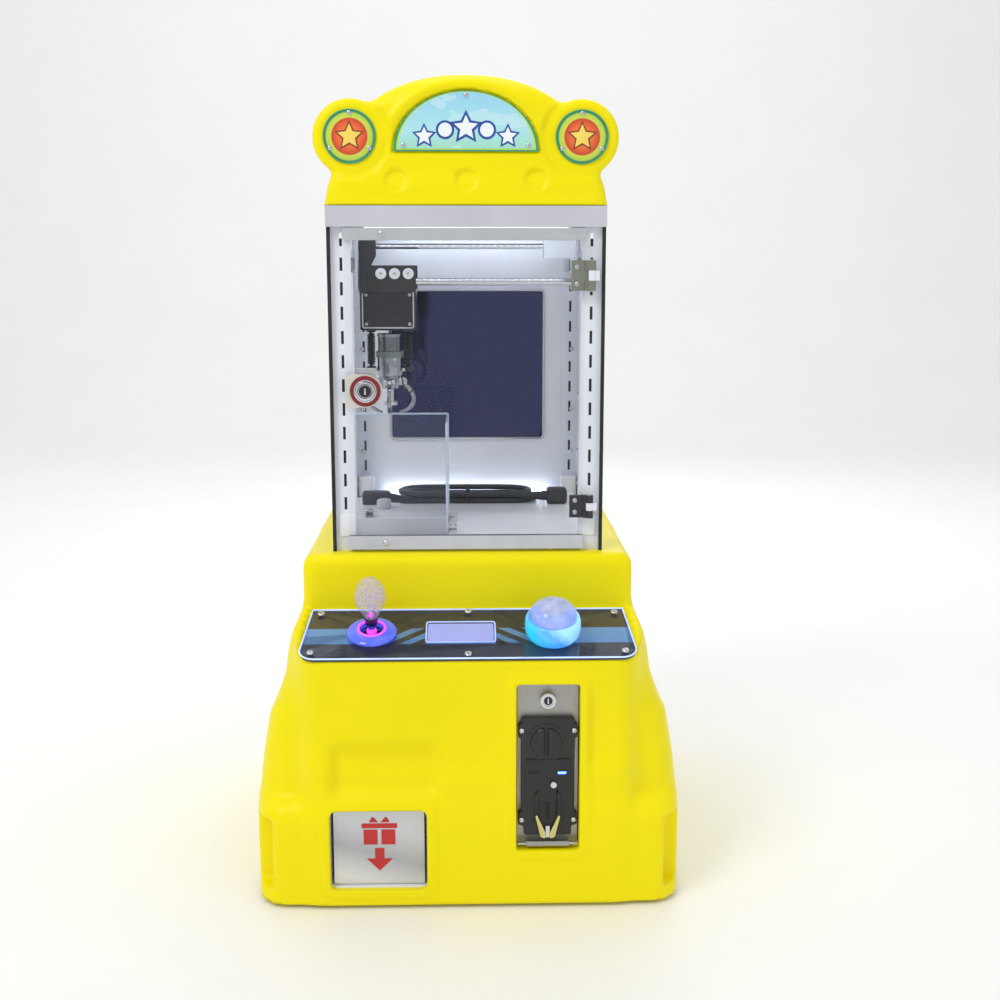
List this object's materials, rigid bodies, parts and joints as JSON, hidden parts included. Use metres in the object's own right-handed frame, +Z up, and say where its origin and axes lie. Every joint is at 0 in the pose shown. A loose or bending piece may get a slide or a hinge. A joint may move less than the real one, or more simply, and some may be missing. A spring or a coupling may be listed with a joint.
{
  "type": "claw crane machine",
  "caption": "Tabletop claw crane machine: moulded base with joystick deck, coin door and prize flap, glass cabinet with gantry claw, and an eared topper.",
  "frame": {"origin": "centre of the footprint, on the surface that the rubber feet stand on", "axes": "+Z up; the front with the deck, the coin door and the prize flap faces -Y; +X is to the right of a person facing the front"},
  "size_m": [0.46, 0.46, 0.88],
  "materials": {
    "yellow_moulding": "satin rotationally moulded polyethylene",
    "plate_steel": "satin zinc-plated sheet",
    "foot_rubber": "matt",
    "seal_rubber": "matt",
    "printed_panel": "printed under gloss",
    "deck_acrylic": "clear edge-lit acrylic",
    "screw_steel": "bright pan heads",
    "display": "backlit window",
    "blue_lens": "translucent, lit",
    "violet_lens": "translucent, lit",
    "crystal_knob": "clear with bubbles",
    "black_plastic": "fine moulded texture",
    "white_plastic": "satin",
    "white_paint": "smooth powder coat",
    "grey_paint": "satin",
    "black_paint": "satin powder coat",
    "clear_glass": "clear",
    "clear_acrylic": "clear polished edges",
    "tinted_mirror": "dark tinted",
    "led_white": "lit",
    "rail_aluminium": "satin anodised",
    "chrome": "polished",
    "brushed_steel": "brushed",
    "fitting_grey": "satin",
    "sign_print": "printed",
    "board_green": "solder mask",
    "cord_black": "satin sheath",
    "coin_plate_steel": "satin",
    "flap_acrylic": "frosted",
    "red_plastic": "gloss"
  },
  "bodies": {
    "cabinet": {"base_shell": "yellow_moulding", "base_plate": "plate_steel", "rubber_feet": "foot_rubber", "deck_panel": "printed_panel", "deck_cover": "deck_acrylic", "cover_screws": "screw_steel", "display_module": "display", "joystick_collar": "blue_lens", "joystick_housing": "black_plastic", "button_bezel": "blue_lens", "button_switch": "black_plastic", "prize_chute": "white_paint", "hinge_pins": "screw_steel", "coin_tray": "black_plastic", "playfield_floor": "white_paint", "prize_guard": "clear_acrylic", "corner_posts": "white_paint", "side_glass": "clear_glass", "edge_seals": "seal_rubber", "rear_wall": "white_paint", "rear_mirror": "tinted_mirror", "top_frame": "grey_paint", "led_strips": "led_white", "side_rails": "rail_aluminium", "topper_shell": "yellow_moulding", "sign_panels": "sign_print", "power_inlet": "black_plastic", "power_supply": "plate_steel", "control_board": "board_green", "lead_hank": "cord_black", "lead_ends": "cord_black"},
    "front_door": {"door_glass": "clear_glass", "door_rails": "rail_aluminium", "door_fittings": "fitting_grey"},
    "front_lock": {"door_lock_barrel": "chrome"},
    "bridge": {"bridge_frame": "black_paint", "bridge_rods": "chrome", "bridge_rollers": "white_plastic"},
    "carriage": {"carriage_frame": "black_paint", "carriage_box": "black_plastic", "carriage_rollers": "white_plastic", "hoist_lines": "cord_black"},
    "winch": {"winch_drum": "black_plastic"},
    "claw": {"claw_body": "brushed_steel"},
    "plunger": {"claw_plunger": "brushed_steel"},
    "finger_1": {"claw_finger_1": "chrome"},
    "finger_2": {"claw_finger_2": "chrome"},
    "finger_3": {"claw_finger_3": "chrome"},
    "gimbal": {"joystick_gimbal": "brushed_steel"},
    "stick": {"joystick_shaft": "chrome", "joystick_knob": "crystal_knob"},
    "button": {"drop_button": "violet_lens"},
    "coin_door": {"coin_door": "coin_plate_steel", "coin_faceplate": "black_plastic", "coin_mech": "black_plastic"},
    "reject_button": {"coin_reject_button": "chrome"},
    "coin_lock": {"coin_lock_barrel": "chrome"},
    "prize_door": {"prize_flap": "flap_acrylic"},
    "rear_door": {"rear_door": "black_paint"},
    "power_switch": {"power_rocker": "red_plastic"}
  },
  "joints": [
    {"name": "front_door_hinge", "type": "hinge", "parent": "cabinet", "child": "front_door", "pos_m": [0.134, -0.129, 0.548], "axis": [0, 0, 1], "range_deg": [0, 110]},
    {"name": "front_lock_turn", "type": "hinge", "parent": "front_door", "child": "front_lock", "pos_m": [-0.11, -0.12, 0.548], "axis": [0, -1, 0], "range_deg": [0, 90]},
    {"name": "bridge_slide", "type": "slide", "parent": "cabinet", "child": "bridge", "axis": [0, 1, 0], "range_m": [0, 0.15]},
    {"name": "carriage_slide", "type": "slide", "parent": "bridge", "child": "carriage", "axis": [1, 0, 0], "range_m": [0, 0.165]},
    {"name": "hoist_slide", "type": "slide", "parent": "carriage", "child": "claw", "axis": [0, 0, 1], "range_m": [-0.1, 0], "deforming": ["hoist_lines"]},
    {"name": "winch_turn", "type": "hinge", "parent": "carriage", "child": "winch", "pos_m": [-0.087, -0.048, 0.634], "axis": [1, 0, 0], "range_deg": [0, 720]},
    {"name": "finger_1_swing", "type": "hinge", "parent": "claw", "child": "finger_1", "pos_m": [-0.087, -0.071, 0.552], "axis": [-1, 0, 0], "range_deg": [0, 30]},
    {"name": "finger_2_swing", "type": "hinge", "parent": "claw", "child": "finger_2", "pos_m": [-0.07401, -0.0485, 0.552], "axis": [0.5, -0.866, 0], "range_deg": [0, 30]},
    {"name": "finger_3_swing", "type": "hinge", "parent": "claw", "child": "finger_3", "pos_m": [-0.09999, -0.0485, 0.552], "axis": [0.5, 0.866, 0], "range_deg": [0, 30]},
    {"name": "plunger_slide", "type": "slide", "parent": "claw", "child": "plunger", "axis": [0, 0, 1], "range_m": [0, 0.00786]},
    {"name": "joystick_pitch", "type": "hinge", "parent": "cabinet", "child": "gimbal", "pos_m": [-0.103, -0.18251, 0.28171], "axis": [1, 0, 0], "range_deg": [-12, 12], "stiffness_Nm_per_rad": 1.2},
    {"name": "joystick_roll", "type": "hinge", "parent": "gimbal", "child": "stick", "pos_m": [-0.103, -0.18251, 0.28171], "axis": [0, 0.9478, 0.319], "range_deg": [-12, 12], "stiffness_Nm_per_rad": 1.2},
    {"name": "drop_button_press", "type": "slide", "parent": "cabinet", "child": "button", "axis": [0, 0.319, -0.9478], "range_m": [0, 0.004], "stiffness_N_per_m": 600, "springref_m": -0.004},
    {"name": "coin_door_hinge", "type": "hinge", "parent": "cabinet", "child": "coin_door", "pos_m": [0.084, -0.2255, 0.071], "axis": [1, 0, 0], "range_deg": [0, 60]},
    {"name": "reject_button_press", "type": "slide", "parent": "coin_door", "child": "reject_button", "axis": [0, 1, 0], "range_m": [0, 0.002], "stiffness_N_per_m": 300, "springref_m": -0.003},
    {"name": "coin_lock_turn", "type": "hinge", "parent": "coin_door", "child": "coin_lock", "pos_m": [0.084, -0.212, 0.2295], "axis": [0, 1, 0], "range_deg": [0, 90]},
    {"name": "prize_flap_swing", "type": "hinge", "parent": "cabinet", "child": "prize_door", "pos_m": [-0.0965, -0.22, 0.1145], "axis": [1, 0, 0], "range_deg": [0, 70]},
    {"name": "rear_door_hinge", "type": "hinge", "parent": "cabinet", "child": "rear_door", "pos_m": [0.102, 0.2265, 0.185], "axis": [0, 0, -1], "range_deg": [0, 100]},
    {"name": "power_switch_rock", "type": "hinge", "parent": "cabinet", "child": "power_switch", "pos_m": [-0.135, 0.219, 0.042], "axis": [-1, 0, 0], "range_deg": [0, 20]}
  ],
  "couplings": [
    {"joint": "winch_turn", "follows": "hoist_slide", "rad_per_m": -125},
    {"joint": "finger_2_swing", "follows": "finger_1_swing", "ratio": 1},
    {"joint": "finger_3_swing", "follows": "finger_1_swing", "ratio": 1},
    {"joint": "plunger_slide", "follows": "finger_1_swing", "m_per_rad": 0.015}
  ]
}
